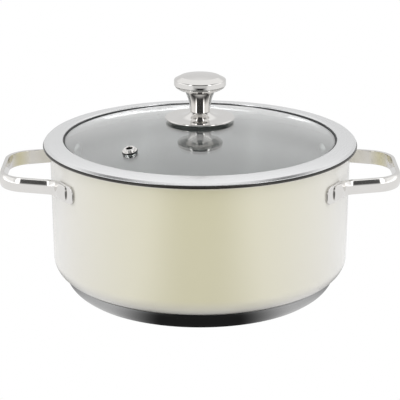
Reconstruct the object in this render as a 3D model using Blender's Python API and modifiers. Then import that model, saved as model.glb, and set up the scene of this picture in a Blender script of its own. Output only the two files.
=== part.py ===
"""Two-handled casserole pot with a domed glass lid, built as separate pieces.

The pot stands on Z = 0 with its axis on Z. The handles point along +X and -X.
All sizes are in metres. Every turned piece is drawn as a half section (radius, height)
and swept round the axis; the section runs down its outer side.
"""

import math

import bpy
from mathutils import Matrix, Vector

# ---------------------------------------------------------------- driving dimensions
GAP = 0.0003                     # between two pieces that touch
MERGE = 0.00001                  # points closer than this are one point

# Pot shell: a deep-drawn steel cup, enamelled outside
WALL_RADIUS = 0.120              # outside of the wall, just above the foot curve
WALL_LEAN = 0.001                # how much wider the wall is below the lip
WALL = 0.001                     # sheet thickness
FOOT_CURVE = 0.016               # outside radius between the wall and the floor
POT_HEIGHT = 0.1219              # top of the rolled lip above the table
LIP_REACH = 0.0056               # how far the lip stands out from the wall
LIP_CURVE = 0.0035               # outside radius under the lip
BEAD_RADIUS = 0.0010             # rolled edge of the lip

# Capsule base: an aluminium disc in a steel cap
BASE_HEIGHT = 0.013              # underside of the shell above the table
BASE_INSET = 0.0092              # from the outside of the wall in to the top of the cap
BASE_TAPER = 0.0113              # from the top of the cap in to its edge on the table
BASE_BULGE = 0.0023              # how far the cap's side swells from a straight cone
CAP_SHEET = 0.0008

# Lid ring: a wide pressed ring that sits on the lip, with a skirt inside the pot
RING_INSET = 0.0007              # from the edge of the lip in to the edge of the ring
RING_WIDTH = 0.0156
RING_RISE = 0.0022               # the ring climbs this much from its hem to its inner edge
RING_SHEET = 0.0008
RING_TURN = 0.0006               # the inner edge is turned down by this much
HEM_THICKNESS = 0.0018
HEM_WIDTH = 0.0044
SKIRT_PLAY = 0.002               # between the skirt and the inside of the pot
SKIRT_DEPTH = 0.010              # below the top of the lip
LEDGE_WIDTH = 0.0042

# Glass dome and the silicone channel round its edge
GASKET = 0.0007                  # thinnest leaf of the channel
GLASS_THICKNESS = 0.004
GLASS_RISE = 0.017               # top of the dome above its flat edge
GLASS_FLAT = 0.0027              # width of the flat edge
LIP_WIDTH = 0.0013               # the channel shows this much inside the ring
LIP_EDGE = 0.0003                # thickness where it ends on the glass
GLASS_HOLE_RADIUS = 0.0045       # for the knob's screw

# Steam vent: a steel eyelet in a silicone bush
VENT_INSET = 0.0263              # from the inner edge of the ring in to the vent
VENT_ANGLE = math.radians(230)
VENT_BORE_RADIUS = 0.0026
VENT_TUBE = 0.0007
VENT_BUSH = 0.0008
VENT_FLANGE_RADIUS = 0.0058
VENT_COLLAR_RADIUS = 0.0046
VENT_COLLAR_HEIGHT = 0.0024
VENT_FOOT_RADIUS = 0.0050

# Knob: flange, stem and cap, held by one screw through the glass
WASHER_THICKNESS = 0.001
WASHER_RADIUS = 0.010
STEEL_WASHER_RADIUS = 0.008
SCREW_RADIUS = 0.0018
SCREW_HEAD_RADIUS = 0.0045
SCREW_HEAD_HEIGHT = 0.0028
SCREW_CLEARANCE = 0.0005         # round the shank where it passes through
FLANGE_RADIUS = 0.028
FLANGE_EDGE = 0.0016             # thickness at the flange's rim
FLANGE_COLLAR_HEIGHT = 0.005     # from the rim to the top of the collar
FLANGE_HOLLOW = 5                # power of the flange's hollow curve: higher is steeper
STEM_RADIUS = 0.0080             # waist of the stem
STEM_HEIGHT = 0.0208
STEM_TOP_RADIUS = 0.0120         # where the stem opens into the head
STEM_THROAT = 0.78               # that place, as a share of the stem's height
STEM_BRIM = 0.002                # height of the head's brim under the cap
KNOB_RADIUS = 0.0208
KNOB_SIDE = 0.005                # height of the cap's straight side
KNOB_CROWN = 0.0036              # height of the cap above its side
CROWN_SHARE = 0.75               # of the cap's radius and crown, where its bevel starts
CROWN_FALL = 0.0002              # the crown's slight dome, half way to its bevel
KNOB_SHEET = 0.001
SPIGOT_HEIGHT = 0.002
INSERT_RADIUS = 0.005
INSERT_LENGTH = 0.010

# Handles: a flat loop whose two ends lie on the wall, each with one rivet
HANDLE_DROP = 0.0249             # middle of the handle below the top of the lip
HANDLE_STANDOFF = 0.042          # outside of the loop from the outside of the wall
STRAP_HEIGHT = 0.0115
STRAP_THICKNESS = 0.005
STRAP_END_THICKNESS = 0.0036
STRAP_EDGE = 0.0017              # rounding of the strap's long edges
LOOP_STRAIGHT = 0.0175           # half length of the loop's straight front
LOOP_CURVE = 0.024
LOOP_TURN = math.radians(75)     # the arms spread by the rest of a right angle
FOOT_BEND = 0.012
PAD_THICKNESS = 0.0014
PAD_LENGTH = 0.0265              # along the wall
PAD_PAST_RIVET = 0.0127          # from the rivet to the end of the pad, along the wall
STRAP_PAST_RIVET = 0.0032        # from the rivet to the end of the strap
PAD_HEIGHT = 0.0145
PAD_CORNER = 0.005
RIVET_SPREAD = 0.0618            # from the middle plane of the handle to each rivet
RIVET_RADIUS = 0.0025
RIVET_HEAD_RADIUS = 0.0054
RIVET_HEAD_HEIGHT = 0.002
RIVET_HEAD_FLAT = 0.0019         # radius of the flat in the middle of the head
RIVET_CLEARANCE = 0.0004
RIVET_DEPTH = 0.0028             # how deep the shank reaches into the foot

# Facets: sides of a turned piece
ROUND = 48
ROUND_KNOB = 28
ROUND_SMALL = 16
DOME_STEPS = 7                   # straight steps from the hole in the glass to its flat edge


# ---------------------------------------------------------------- scene and finishes
for leftover in list(bpy.data.objects):
    bpy.data.objects.remove(leftover, do_unlink=True)

parts = bpy.data.collections.new("casserole_pot")
cutters = bpy.data.collections.new("cutters")
bpy.context.scene.collection.children.link(parts)
bpy.context.scene.collection.children.link(cutters)


def finish(name, colour, roughness, metallic):
    """One plain Principled finish."""
    made = bpy.data.materials.new(name)
    made.use_nodes = True
    shader = made.node_tree.nodes["Principled BSDF"]
    shader.inputs["Base Color"].default_value = (*colour, 1.0)
    shader.inputs["Roughness"].default_value = roughness
    shader.inputs["Metallic"].default_value = metallic
    return made


CREAM = (0.84, 0.80, 0.62)
STEEL = (0.78, 0.78, 0.77)
SILICONE = (0.03, 0.03, 0.03)


def assembly(name):
    """An empty that groups the pieces of one assembly."""
    empty = bpy.data.objects.new(name, None)
    parts.objects.link(empty)
    return empty


def place(obj, colour, roughness, metallic, parent):
    """Put a finished piece in the parts collection with its own finish."""
    for owner in list(obj.users_collection):
        owner.objects.unlink(obj)
    parts.objects.link(obj)
    if not obj.data.materials:
        obj.data.materials.append(finish(obj.name + "_finish", colour, roughness, metallic))
    obj.parent = parent
    return obj


def as_cutter(obj):
    """Move a helper body to the cutters collection, out of the render."""
    for owner in list(obj.users_collection):
        owner.objects.unlink(obj)
    cutters.objects.link(obj)
    obj.hide_render = True
    obj.display_type = "WIRE"
    return obj


# ---------------------------------------------------------------- modelling helpers
def turned(name, section, sides, closed=True):
    """Sweep a half section round Z. An open section starts and ends on the axis."""
    count = len(section)
    last = count if closed else count - 1
    mesh = bpy.data.meshes.new(name)
    mesh.from_pydata(
        [(radius, 0.0, height) for radius, height in section],
        [(i, (i + 1) % count) for i in range(last)],
        [],
    )
    obj = bpy.data.objects.new(name, mesh)
    bpy.context.scene.collection.objects.link(obj)
    sweep = obj.modifiers.new("sweep", "SCREW")
    sweep.axis = "Z"
    sweep.angle = 2 * math.pi
    sweep.steps = sides
    sweep.render_steps = sides
    sweep.use_merge_vertices = True
    sweep.merge_threshold = MERGE
    sweep.use_smooth_shade = True
    return obj


def rod(name, radius, length, sides, matrix):
    """A cylinder of the given length, centred on its matrix, along the matrix's Z."""
    bpy.ops.mesh.primitive_cylinder_add(vertices=sides, radius=radius, depth=length)
    obj = bpy.context.object
    obj.name = name
    obj.matrix_world = matrix
    return as_cutter(obj)


def boolean(obj, cutter, operation="DIFFERENCE"):
    step = obj.modifiers.new(cutter.name, "BOOLEAN")
    step.operation = operation
    step.solver = "EXACT"
    step.object = cutter


def arc(centre, radius, start, end, steps):
    """Points on an arc in the (radius, height) plane, angles in degrees."""
    cx, cz = centre
    angles = [math.radians(start + (end - start) * i / steps) for i in range(steps + 1)]
    return [(cx + radius * math.cos(a), cz + radius * math.sin(a)) for a in angles]


def evaluated_mesh(obj):
    """The mesh that an object and its modifiers make, as a mesh of its own."""
    depsgraph = bpy.context.evaluated_depsgraph_get()
    return bpy.data.meshes.new_from_object(obj.evaluated_get(depsgraph), depsgraph=depsgraph)


def along(direction, point):
    """A matrix at point whose Z axis looks along direction."""
    return Matrix.Translation(point) @ Vector(direction).to_track_quat("Z", "Y").to_matrix().to_4x4()


# ---------------------------------------------------------------- pot shell
pot = assembly("pot")
lid = assembly("lid")

foot_centre = (WALL_RADIUS - FOOT_CURVE, BASE_HEIGHT + FOOT_CURVE)
lip_wall_radius = WALL_RADIUS + WALL_LEAN
bead_centre = (lip_wall_radius + LIP_REACH - BEAD_RADIUS, POT_HEIGHT - BEAD_RADIUS)
lip_bottom = bead_centre[1] - WALL / 2
lip_centre = (lip_wall_radius + LIP_CURVE, lip_bottom - LIP_CURVE)


def wall_radius(height):
    """Outside radius of the wall at a height between the foot curve and the lip."""
    share = (height - foot_centre[1]) / (lip_centre[1] - foot_centre[1])
    return WALL_RADIUS + WALL_LEAN * share


shell_section = [(0.0, BASE_HEIGHT + WALL)]
shell_section += arc(foot_centre, FOOT_CURVE - WALL, -90, 0, 5)
shell_section += arc(lip_centre, LIP_CURVE + WALL, 180, 90, 3)
bead_join = math.degrees(math.asin(WALL / 2 / BEAD_RADIUS))
shell_section += arc(bead_centre, BEAD_RADIUS, 180 - bead_join, -180 + bead_join, 6)
shell_section += arc(lip_centre, LIP_CURVE, 90, 180, 3)
shell_section += arc(foot_centre, FOOT_CURVE, 0, -90, 5)
shell_section += [(0.0, BASE_HEIGHT)]
pot_shell = turned("pot_shell", shell_section, ROUND, closed=False)
place(pot_shell, CREAM, 0.25, 0.0, pot)


# ---------------------------------------------------------------- capsule base
def foot_underside(radius):
    """Height of the shell's outside at a radius inside the foot curve."""
    offset = max(radius - foot_centre[0], 0.0)
    return foot_centre[1] - math.sqrt(FOOT_CURVE ** 2 - offset ** 2)


cap_top_radius = WALL_RADIUS - BASE_INSET
cap_top = foot_underside(cap_top_radius) - GAP
side_run = Vector((BASE_TAPER, cap_top))
side_radius = (side_run.length ** 2 / 4 + BASE_BULGE ** 2) / (2 * BASE_BULGE)
side_middle = Vector((cap_top_radius - BASE_TAPER, 0.0)) + side_run / 2
side_normal = Vector((-side_run.y, side_run.x)).normalized()
side_centre = side_middle + side_normal * (side_radius - BASE_BULGE)


def cap_side(inset, low, high, steps):
    """Points up the cap's side, set in from its outside, between two heights."""
    radius = side_radius - inset
    points = []
    for i in range(steps + 1):
        height = low + (high - low) * i / steps
        reach = math.sqrt(radius ** 2 - (height - side_centre.y) ** 2)
        points.append((side_centre.x + reach, height))
    return points


cap_inner_top = foot_underside(cap_top_radius - CAP_SHEET) - GAP
cap_section = [(0.0, CAP_SHEET)]
cap_section += cap_side(CAP_SHEET, CAP_SHEET, cap_inner_top, 4)
cap_section += list(reversed(cap_side(0.0, 0.0, cap_top, 5)))
cap_section += [(0.0, 0.0)]
base_cap = turned("base_cap", cap_section, ROUND, closed=False)
place(base_cap, (0.62, 0.62, 0.61), 0.22, 1.0, pot)

core_side = cap_side(CAP_SHEET + GAP, CAP_SHEET + GAP, BASE_HEIGHT - GAP, 4)
core_section = [(0.0, BASE_HEIGHT - GAP)] + list(reversed(core_side)) + [(0.0, CAP_SHEET + GAP)]
base_core = turned("base_core", core_section, ROUND, closed=False)
place(base_core, (0.80, 0.80, 0.80), 0.5, 1.0, pot)


# ---------------------------------------------------------------- handles
handle_height = POT_HEIGHT - HANDLE_DROP
pad_radius = wall_radius(handle_height + PAD_HEIGHT / 2) + GAP
foot_radius = pad_radius + PAD_THICKNESS
strap_foot_radius = foot_radius + STRAP_END_THICKNESS / 2 - GAP
rivet_angle = math.asin(RIVET_SPREAD / foot_radius)
pad_end_angle = rivet_angle + PAD_PAST_RIVET / foot_radius
pad_start_angle = pad_end_angle - PAD_LENGTH / foot_radius
strap_end_angle = rivet_angle + STRAP_PAST_RIVET / foot_radius


def strap_half():
    """Middle line of half the strap in plan, with the strap's thickness at each point."""
    front = WALL_RADIUS + HANDLE_STANDOFF - STRAP_THICKNESS / 2
    points = [(Vector((front, 0.0)), 0.0), (Vector((front, LOOP_STRAIGHT)), 0.0)]
    turn = Vector((front - LOOP_CURVE, LOOP_STRAIGHT))
    steps = 7
    for i in range(1, steps + 1):
        a = LOOP_TURN * i / steps
        points.append((turn + LOOP_CURVE * Vector((math.cos(a), math.sin(a))), 0.0))
    start = points[-1][0]
    heading = LOOP_TURN + math.pi / 2
    run = Vector((math.cos(heading), math.sin(heading)))
    side = Vector((math.cos(LOOP_TURN), math.sin(LOOP_TURN)))
    # The bend is tangent to the arm and to the circle that the foot lies on
    origin = start + FOOT_BEND * side
    reach = strap_foot_radius + FOOT_BEND
    half_b = origin.dot(run)
    length = -half_b - math.sqrt(half_b ** 2 - (origin.length ** 2 - reach ** 2))
    bend = origin + run * length
    meet = math.atan2(bend.y, bend.x)
    sweep = heading - (meet + math.pi / 2)
    for i in range(0, steps + 1):
        a = LOOP_TURN + math.pi - sweep * i / steps
        points.append((bend + FOOT_BEND * Vector((math.cos(a), math.sin(a))), i / steps))
    for i in range(1, 4):
        a = meet + (strap_end_angle - meet) * i / 3
        points.append((strap_foot_radius * Vector((math.cos(a), math.sin(a))), 1.0))
    return points


def strap_outline():
    """Closed outline of the whole strap in plan."""
    half = strap_half()
    mirrored = [(Vector((p.x, -p.y)), thin) for p, thin in reversed(half[1:])]
    line = mirrored + half
    outer = []
    inner = []
    for i, (point, thin) in enumerate(line):
        before = line[max(i - 1, 0)][0]
        after = line[min(i + 1, len(line) - 1)][0]
        run = (after - before).normalized()
        out = Vector((run.y, -run.x))
        thickness = STRAP_THICKNESS + (STRAP_END_THICKNESS - STRAP_THICKNESS) * thin
        outer.append(point + out * thickness / 2)
        inner.append(point - out * thickness / 2)
    return outer + list(reversed(inner))


def flat_body(name, outline, thickness, edge):
    """A flat outline given thickness, centred on Z = 0, with rounded long edges."""
    curve = bpy.data.curves.new(name, "CURVE")
    curve.dimensions = "2D"
    curve.fill_mode = "BOTH"
    curve.extrude = thickness / 2 - edge
    curve.bevel_depth = edge
    curve.bevel_resolution = 1
    curve.offset = -edge
    spline = curve.splines.new("POLY")
    spline.points.add(len(outline) - 1)
    for point, (x, y) in zip(spline.points, outline):
        point.co = (x, y, 0.0, 1.0)
    spline.use_cyclic_u = True
    drawn = bpy.data.objects.new(name + "_outline", curve)
    bpy.context.scene.collection.objects.link(drawn)
    mesh = evaluated_mesh(drawn)
    bpy.data.objects.remove(drawn, do_unlink=True)
    obj = bpy.data.objects.new(name, mesh)
    bpy.context.scene.collection.objects.link(obj)
    weld = obj.modifiers.new("weld", "WELD")
    weld.merge_threshold = MERGE
    return obj


PLATE_DEPTH = 0.012              # of the flat plate that the curved pad is cut from


def pad_body(name, mirror):
    """One foot pad: a plate with rounded ends, curved to lie on the wall."""
    middle = (pad_start_angle + pad_end_angle) / 2
    half_width = foot_radius * (pad_end_angle - pad_start_angle) / 2
    half_height = PAD_HEIGHT / 2
    outline = []
    for sx, sy, start in ((1, 1, 0), (-1, 1, 90), (-1, -1, 180), (1, -1, 270)):
        corner = (sx * (half_width - PAD_CORNER), sy * (half_height - PAD_CORNER))
        outline += arc(corner, PAD_CORNER, start, start + 90, 4)
    plate = flat_body(name, outline, PLATE_DEPTH, 0.0)
    turn = Matrix.Rotation(mirror * middle, 4, "Z") @ Matrix.Translation((foot_radius, 0.0, handle_height))
    stand = Matrix(((0, 0, 1, 0), (1, 0, 0, 0), (0, 1, 0, 0), (0, 0, 0, 1)))
    plate.matrix_world = turn @ stand
    as_cutter(plate)
    boolean(plate, pad_ring, "INTERSECT")
    return plate


ring_low = handle_height - PAD_HEIGHT
ring_high = handle_height + PAD_HEIGHT
pad_ring = turned(
    "pad_ring",
    [(pad_radius, ring_high), (foot_radius, ring_high), (foot_radius, ring_low), (pad_radius, ring_low)],
    ROUND * 2,
)
as_cutter(pad_ring)

strap = flat_body("strap", strap_outline(), STRAP_HEIGHT, STRAP_EDGE)
strap.location.z = handle_height
as_cutter(strap)
for mirror, end in ((1, "back"), (-1, "front")):
    boolean(strap, pad_body("pad_" + end, mirror), "UNION")
    out = Vector((math.cos(rivet_angle), mirror * math.sin(rivet_angle), 0.0))
    hole_end = pad_radius + RIVET_DEPTH + GAP
    hole_length = 4 * RIVET_RADIUS
    at = out * (hole_end - hole_length / 2) + Vector((0, 0, handle_height))
    hole = rod("foot_hole_" + end, RIVET_RADIUS + RIVET_CLEARANCE, hole_length, ROUND_SMALL, along(out, at))
    boolean(strap, hole)

bpy.context.view_layer.update()
handle_mesh = evaluated_mesh(strap)
handle_mesh.name = "handle"
handle_mesh.shade_smooth()
handle_mesh.set_sharp_from_angle(angle=math.radians(35))
for name, angle in (("right_handle", 0.0), ("left_handle", math.pi)):
    handle = bpy.data.objects.new(name, handle_mesh)
    handle.location.z = handle_height
    handle.rotation_euler.z = angle
    place(handle, STEEL, 0.12, 1.0, pot)

# Rivets: a domed head on the inside of the wall, a shank out into the handle's foot
flat_of_facet = math.cos(math.pi / ROUND)
inner_wall = (wall_radius(handle_height - RIVET_HEAD_RADIUS) - WALL) * flat_of_facet
head_seat = math.sqrt(inner_wall ** 2 - RIVET_HEAD_RADIUS ** 2) - GAP
shank_end = pad_radius + RIVET_DEPTH
rivet_section = [(0.0, shank_end - head_seat), (RIVET_RADIUS, shank_end - head_seat)]
rivet_section += [(RIVET_RADIUS, 0.0), (RIVET_HEAD_RADIUS, 0.0)]
for share in (0.8, 0.5, 0.2):
    swell = math.sqrt(1 - share ** 2)
    # The head's side is a quarter of an ellipse round a small flat
    reach = RIVET_HEAD_FLAT + (RIVET_HEAD_RADIUS - RIVET_HEAD_FLAT) * share
    rivet_section.append((reach, -RIVET_HEAD_HEIGHT * swell))
rivet_section.append((0.0, -RIVET_HEAD_HEIGHT))
rivet = turned("rivet", rivet_section, ROUND_SMALL, closed=False)
as_cutter(rivet)
bpy.context.view_layer.update()
rivet_mesh = evaluated_mesh(rivet)
rivet_mesh.name = "rivet"
for side, side_angle in (("right", 0.0), ("left", math.pi)):
    for end, angle in (("back", rivet_angle), ("front", -rivet_angle)):
        # The front end of the left handle is the right handle's back end turned half way round
        heading = side_angle + (angle if side == "right" else -angle)
        out = Vector((math.cos(heading), math.sin(heading), 0.0))
        one = bpy.data.objects.new("rivet_" + side + "_" + end, rivet_mesh)
        one.matrix_world = along(out, out * head_seat + Vector((0, 0, handle_height)))
        place(one, STEEL, 0.2, 1.0, pot)
for name, heading in (("wall_holes_a", rivet_angle), ("wall_holes_b", -rivet_angle)):
    out = Vector((math.cos(heading), math.sin(heading), 0.0))
    hole = rod(
        name, RIVET_RADIUS + RIVET_CLEARANCE, 2.4 * WALL_RADIUS, ROUND_SMALL,
        along(out, Vector((0, 0, handle_height))),
    )
    boolean(pot_shell, hole)


# ---------------------------------------------------------------- lid ring
ring_radius = lip_wall_radius + LIP_REACH - RING_INSET
ring_inner_radius = ring_radius - RING_WIDTH
hem_bottom = POT_HEIGHT + GAP
ring_edge_top = hem_bottom + HEM_THICKNESS


def ring_top(radius):
    """Height of the ring's upper face."""
    share = (ring_radius - radius) / RING_WIDTH
    return ring_edge_top + RING_RISE * share


def ring_under(radius):
    return ring_top(radius) - RING_SHEET


skirt_radius = lip_wall_radius - WALL - SKIRT_PLAY
skirt_inner = skirt_radius - RING_SHEET
skirt_bottom = POT_HEIGHT - SKIRT_DEPTH
gasket_radius = skirt_inner - GAP
glass_radius = gasket_radius - 2 * GASKET - GAP
glass_top = ring_under(gasket_radius) - GASKET - 2 * GAP
glass_bottom = glass_top - GLASS_THICKNESS
ledge_top = glass_bottom - GASKET - 2 * GAP
ledge_radius = skirt_inner - LEDGE_WIDTH
hem_inner = ring_radius - HEM_WIDTH
hem_half = HEM_THICKNESS / 2

ring_turned = ring_under(ring_inner_radius) - RING_TURN
ring_section = [(ring_inner_radius, ring_top(ring_inner_radius))]
ring_section += arc((ring_radius - hem_half, hem_bottom + hem_half), hem_half, 90, -90, 6)
ring_section += [(hem_inner, hem_bottom), (hem_inner, ring_under(hem_inner))]
ring_section += [(skirt_radius, ring_under(skirt_radius)), (skirt_radius, skirt_bottom)]
ring_section += [(skirt_inner, skirt_bottom), (skirt_inner, ledge_top - RING_SHEET)]
ring_section += [(ledge_radius, ledge_top - RING_SHEET), (ledge_radius, ledge_top)]
ring_section += [(skirt_inner, ledge_top), (skirt_inner, ring_under(skirt_inner))]
ring_section += [(ring_inner_radius + RING_SHEET, ring_under(ring_inner_radius + RING_SHEET))]
ring_section += [(ring_inner_radius + RING_SHEET, ring_turned), (ring_inner_radius, ring_turned)]
lid_rim = turned("lid_rim", ring_section, ROUND)
place(lid_rim, STEEL, 0.3, 1.0, lid)

# ---------------------------------------------------------------- glass dome
flat_radius = glass_radius - GLASS_FLAT
dome_radius = (flat_radius ** 2 + GLASS_RISE ** 2) / (2 * GLASS_RISE)
dome_apex = glass_top + GLASS_RISE
dome_centre = dome_apex - dome_radius


def dome_height(radius, depth):
    """Height of the dome's surface, or of the one depth below it, at a radius."""
    return dome_centre + math.sqrt((dome_radius - depth) ** 2 - radius ** 2)


gasket_lip = ring_inner_radius - LIP_WIDTH
lip_foot = dome_height(gasket_lip, 0.0) + GAP
turn_radius = ring_inner_radius + RING_SHEET + GAP
gasket_section = [(gasket_lip, lip_foot + LIP_EDGE)]
gasket_section += [(ring_inner_radius - GAP, ring_turned - GAP)]
gasket_section += [(turn_radius, ring_turned - GAP), (turn_radius, ring_under(turn_radius) - GAP)]
gasket_section += [(gasket_radius, ring_under(gasket_radius) - GAP)]
gasket_section += [(gasket_radius, ledge_top + GAP), (ledge_radius, ledge_top + GAP)]
gasket_section += [(ledge_radius, glass_bottom - GAP), (glass_radius + GAP, glass_bottom - GAP)]
gasket_section += [(glass_radius + GAP, glass_top + GAP), (flat_radius, glass_top + GAP)]
gasket_section += [(gasket_lip, lip_foot)]
lid_gasket = turned("lid_gasket", gasket_section, ROUND)
place(lid_gasket, SILICONE, 0.5, 0.0, lid)

dome_width = flat_radius - GLASS_HOLE_RADIUS
radii = [GLASS_HOLE_RADIUS + dome_width * i / DOME_STEPS for i in range(DOME_STEPS + 1)]
glass_edge = GLASS_THICKNESS / 4
glass_section = [(r, dome_height(r, 0.0)) for r in radii]
glass_section += [(glass_radius - glass_edge, glass_top), (glass_radius, glass_top - glass_edge)]
glass_section += [(glass_radius, glass_bottom + glass_edge), (glass_radius - glass_edge, glass_bottom)]
glass_section += [(flat_radius, glass_bottom)]
glass_section += [(r, dome_height(r, GLASS_THICKNESS)) for r in reversed(radii[:-1])]
lid_glass = turned("lid_glass", glass_section, ROUND)
place(lid_glass, (0.80, 0.84, 0.84), 0.02, 0.0, lid)

# ---------------------------------------------------------------- steam vent
bush_inner = VENT_BORE_RADIUS + VENT_TUBE + GAP
bush_outer = bush_inner + VENT_BUSH
vent_hole = bush_outer + GAP
vent_reach = ring_inner_radius - VENT_INSET
vent_x = vent_reach * math.cos(VENT_ANGLE)
vent_y = vent_reach * math.sin(VENT_ANGLE)
vent_foot = Vector((vent_x, vent_y, dome_height(vent_reach, 0.0)))
vent_axis = (vent_foot - Vector((0, 0, dome_centre))).normalized()
vent_matrix = along(vent_axis, vent_foot)
boolean(lid_glass, rod("vent_hole", vent_hole, 6 * GLASS_THICKNESS, ROUND_SMALL, vent_matrix))

bush_top = GAP + VENT_BUSH
bush_bottom = -GLASS_THICKNESS - GAP - VENT_BUSH
bush_flange = VENT_FLANGE_RADIUS + GAP
bush_section = [(bush_inner, bush_top), (bush_flange, bush_top), (bush_flange, GAP), (bush_outer, GAP)]
bush_section += [(bush_outer, -GLASS_THICKNESS - GAP), (bush_flange, -GLASS_THICKNESS - GAP)]
bush_section += [(bush_flange, bush_bottom), (bush_inner, bush_bottom)]
vent_bush = turned("vent_bush", bush_section, ROUND_SMALL)
place(vent_bush, SILICONE, 0.5, 0.0, lid)

tube_outer = VENT_BORE_RADIUS + VENT_TUBE
flange_low = bush_top + GAP
flange_high = flange_low + VENT_TUBE
collar_high = flange_low + VENT_COLLAR_HEIGHT
foot_high = bush_bottom - GAP
eyelet_section = [(VENT_BORE_RADIUS, collar_high), (VENT_COLLAR_RADIUS - VENT_TUBE, collar_high)]
eyelet_section += [(VENT_COLLAR_RADIUS, collar_high - VENT_TUBE), (VENT_COLLAR_RADIUS, flange_high)]
eyelet_section += [(VENT_FLANGE_RADIUS, flange_high), (VENT_FLANGE_RADIUS, flange_low)]
eyelet_section += [(tube_outer, flange_low), (tube_outer, foot_high), (VENT_FOOT_RADIUS, foot_high)]
eyelet_section += [(VENT_FOOT_RADIUS, foot_high - VENT_TUBE), (VENT_BORE_RADIUS, foot_high - VENT_TUBE)]
vent_eyelet = turned("vent_eyelet", eyelet_section, ROUND_SMALL)
place(vent_eyelet, STEEL, 0.15, 1.0, lid)
for piece in (vent_bush, vent_eyelet):
    piece.matrix_world = vent_matrix


# ---------------------------------------------------------------- knob
pass_radius = SCREW_RADIUS + SCREW_CLEARANCE


def washer(name, low, outer):
    """A flat ring round the screw, standing on a height."""
    high = low + WASHER_THICKNESS
    section = [(pass_radius, high), (outer, high), (outer, low), (pass_radius, low)]
    return turned(name, section, ROUND_KNOB)


upper_low = dome_apex + GAP
lower_low = dome_height(WASHER_RADIUS, GLASS_THICKNESS) - GAP - WASHER_THICKNESS
steel_low = lower_low - GAP - WASHER_THICKNESS
place(washer("upper_washer", upper_low, WASHER_RADIUS), SILICONE, 0.5, 0.0, lid)
place(washer("lower_washer", lower_low, WASHER_RADIUS), SILICONE, 0.5, 0.0, lid)
place(washer("screw_washer", steel_low, STEEL_WASHER_RADIUS), STEEL, 0.25, 1.0, lid)

flange_seat = upper_low + WASHER_THICKNESS + GAP
rim_bottom = flange_seat - FLANGE_EDGE / 2
rim_top = rim_bottom + FLANGE_EDGE
collar_top = rim_bottom + FLANGE_COLLAR_HEIGHT + FLANGE_EDGE / 2
rim_centre = (FLANGE_RADIUS - FLANGE_EDGE / 2, rim_bottom + FLANGE_EDGE / 2)
flange_section = [(pass_radius, collar_top), (STEM_RADIUS, collar_top)]
for share in (0.08, 0.2, 0.4, 0.7):
    # The upper face falls from the collar to the rim in one hollow curve
    radius = STEM_RADIUS + (FLANGE_RADIUS - STEM_RADIUS) * share
    height = rim_top + (collar_top - rim_top) * (1 - share) ** FLANGE_HOLLOW
    flange_section.append((radius, height))
flange_section += arc(rim_centre, FLANGE_EDGE / 2, 90, -90, 4)
flange_section += [(WASHER_RADIUS + FLANGE_EDGE, flange_seat), (pass_radius, flange_seat)]
knob_flange = turned("knob_flange", flange_section, ROUND_KNOB)
place(knob_flange, STEEL, 0.1, 1.0, lid)

stem_low = collar_top + GAP
stem_high = stem_low + STEM_HEIGHT
spigot_radius = KNOB_RADIUS - KNOB_SHEET - GAP
throat = stem_low + STEM_THROAT * STEM_HEIGHT
insert_low = stem_low + 2 * KNOB_SHEET + GAP
insert_high = insert_low + INSERT_LENGTH
shoulder = insert_high + KNOB_SHEET
insert_bore = INSERT_RADIUS + GAP
stem_section = [(spigot_radius, stem_high + SPIGOT_HEIGHT), (spigot_radius, stem_high)]
stem_section += [(KNOB_RADIUS - KNOB_SHEET / 2, stem_high)]
stem_section += [(KNOB_RADIUS - 3 * KNOB_SHEET, stem_high - STEM_BRIM)]
stem_section += [(STEM_TOP_RADIUS, throat)]
for share in (0.75, 0.5, 0.25, 0.0):
    waist = STEM_RADIUS + (STEM_TOP_RADIUS - STEM_RADIUS) * share ** 2
    stem_section.append((waist, stem_low + (throat - stem_low) * share))
stem_section += [(pass_radius, stem_low), (pass_radius, insert_low - GAP)]
stem_section += [(insert_bore, insert_low - GAP), (insert_bore, shoulder)]
stem_section += [(spigot_radius - 2 * KNOB_SHEET, stem_high + GAP)]
stem_section += [(spigot_radius - KNOB_SHEET, stem_high + SPIGOT_HEIGHT)]
knob_stem = turned("knob_stem", stem_section, ROUND_KNOB)
place(knob_stem, STEEL, 0.1, 1.0, lid)

knob_insert = turned(
    "knob_insert",
    [(SCREW_RADIUS + GAP, insert_high), (INSERT_RADIUS, insert_high),
     (INSERT_RADIUS, insert_low), (SCREW_RADIUS + GAP, insert_low)],
    ROUND_SMALL,
)
place(knob_insert, (0.72, 0.66, 0.45), 0.35, 1.0, lid)

side_low = stem_high + GAP
side_high = side_low + KNOB_SIDE
crown_edge = CROWN_SHARE * KNOB_RADIUS
cap_apex = side_high + KNOB_CROWN
crown_low = side_high + CROWN_SHARE * KNOB_CROWN
cap_inner = KNOB_RADIUS - KNOB_SHEET
knob_cap_section = [(0.0, cap_apex), (crown_edge / 2, cap_apex - CROWN_FALL)]
knob_cap_section += [(crown_edge, crown_low), (cap_inner, side_high + KNOB_SHEET / 2)]
knob_cap_section += [(KNOB_RADIUS, side_high - KNOB_SHEET / 2), (KNOB_RADIUS, side_low + KNOB_SHEET / 2)]
knob_cap_section += [(KNOB_RADIUS - KNOB_SHEET / 2, side_low), (cap_inner, side_low)]
knob_cap_section += [(cap_inner, side_high - KNOB_SHEET), (crown_edge - KNOB_SHEET, crown_low - KNOB_SHEET)]
knob_cap_section += [(0.0, cap_apex - KNOB_SHEET)]
knob_cap = turned("knob_cap", knob_cap_section, ROUND_KNOB, closed=False)
place(knob_cap, STEEL, 0.15, 1.0, lid)

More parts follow.
